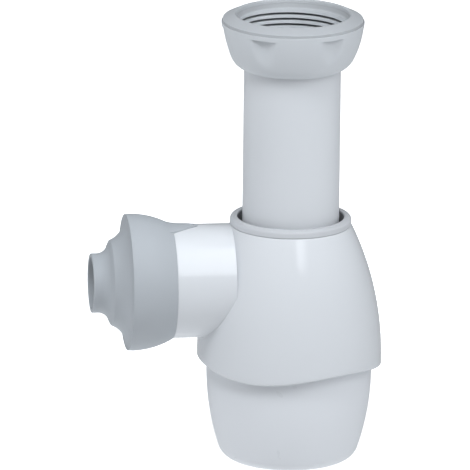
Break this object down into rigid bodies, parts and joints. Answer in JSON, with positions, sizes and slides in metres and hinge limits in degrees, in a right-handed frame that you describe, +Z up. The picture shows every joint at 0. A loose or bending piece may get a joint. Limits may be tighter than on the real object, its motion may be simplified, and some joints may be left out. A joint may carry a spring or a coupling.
{
  "type": "space saving sink trap",
  "caption": "White telescopic bottle trap for a sink: a threaded inlet nut on a sliding tube, a bell body with a side outlet and stepped rubber adapter, and a screw-off cup.",
  "frame": {"origin": "centre of the cup's flat base, on the axis of the body, tube and nut", "axes": "+Z up along the tube to the nut; the outlet branch points along -X"},
  "size_m": [0.1211, 0.0764, 0.1897],
  "materials": {
    "cup_plastic": "smooth moulded, soft gloss",
    "body_plastic": "smooth moulded, glossy",
    "tube_plastic": "smooth drawn, soft gloss",
    "nut_plastic": "moulded, satin",
    "adapter_rubber": "soft moulded rubber, matt",
    "collar_rubber": "soft moulded rubber, matt",
    "seal_rubber": "matt rubber"
  },
  "bodies": {
    "cup": {"cup": "cup_plastic"},
    "cup_seal": {"cup_seal": "seal_rubber"},
    "trap_body": {"trap_body": "body_plastic", "outlet_adapter": "adapter_rubber"},
    "neck_seal": {"neck_seal": "collar_rubber"},
    "inlet_tube": {"inlet_tube": "tube_plastic", "nut_washer": "seal_rubber"},
    "union_nut": {"union_nut": "nut_plastic"}
  },
  "joints": [
    {"name": "cup_thread_lift", "type": "slide", "parent": "cup", "child": "cup_seal", "axis": [0, 0, 1], "range_m": [0, 0.00705]},
    {"name": "cup_thread_turn", "type": "hinge", "parent": "cup_seal", "child": "trap_body", "pos_m": [0, 0, 0.05], "axis": [0, 0, 1], "range_deg": [0, 630]},
    {"name": "tube_swivel", "type": "hinge", "parent": "trap_body", "child": "neck_seal", "pos_m": [0, 0, 0.095], "axis": [0, 0, 1], "continuous": true},
    {"name": "tube_height", "type": "slide", "parent": "neck_seal", "child": "inlet_tube", "axis": [0, 0, 1], "range_m": [-0.045, 0.012]},
    {"name": "nut_spin", "type": "hinge", "parent": "inlet_tube", "child": "union_nut", "pos_m": [0, 0, 0.17], "axis": [0, 0, 1], "continuous": true}
  ],
  "couplings": [
    {"joint": "cup_thread_lift", "follows": "cup_thread_turn", "m_per_rad": 0.00063662}
  ]
}
